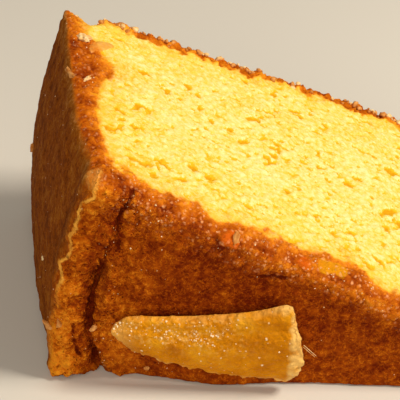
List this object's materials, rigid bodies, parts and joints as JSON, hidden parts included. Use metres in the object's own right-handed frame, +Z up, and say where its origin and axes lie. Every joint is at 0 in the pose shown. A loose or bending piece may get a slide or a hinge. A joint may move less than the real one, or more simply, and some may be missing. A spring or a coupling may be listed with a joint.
{
  "type": "cake slice",
  "caption": "Wedge of round orange sponge cake lying on a cut face, browned crust outside, fine crumb inside, with a strip of candied peel stuck to its baked base.",
  "frame": {"origin": "on the floor, under the middle of the whole part's box", "axes": "+X from the baked outer wall to the thin end of the wedge, +Y from the flat baked base to the domed top of the cake, +Z up from the lower cut face"},
  "size_m": [0.1202, 0.0768, 0.0497],
  "materials": {
    "sponge": "moist sponge with a browned crust",
    "peel": "candied, syrup gloss with sugar grains"
  },
  "bodies": {
    "root": {"cake_slice": "sponge", "candied_peel": "peel"}
  },
  "joints": []
}
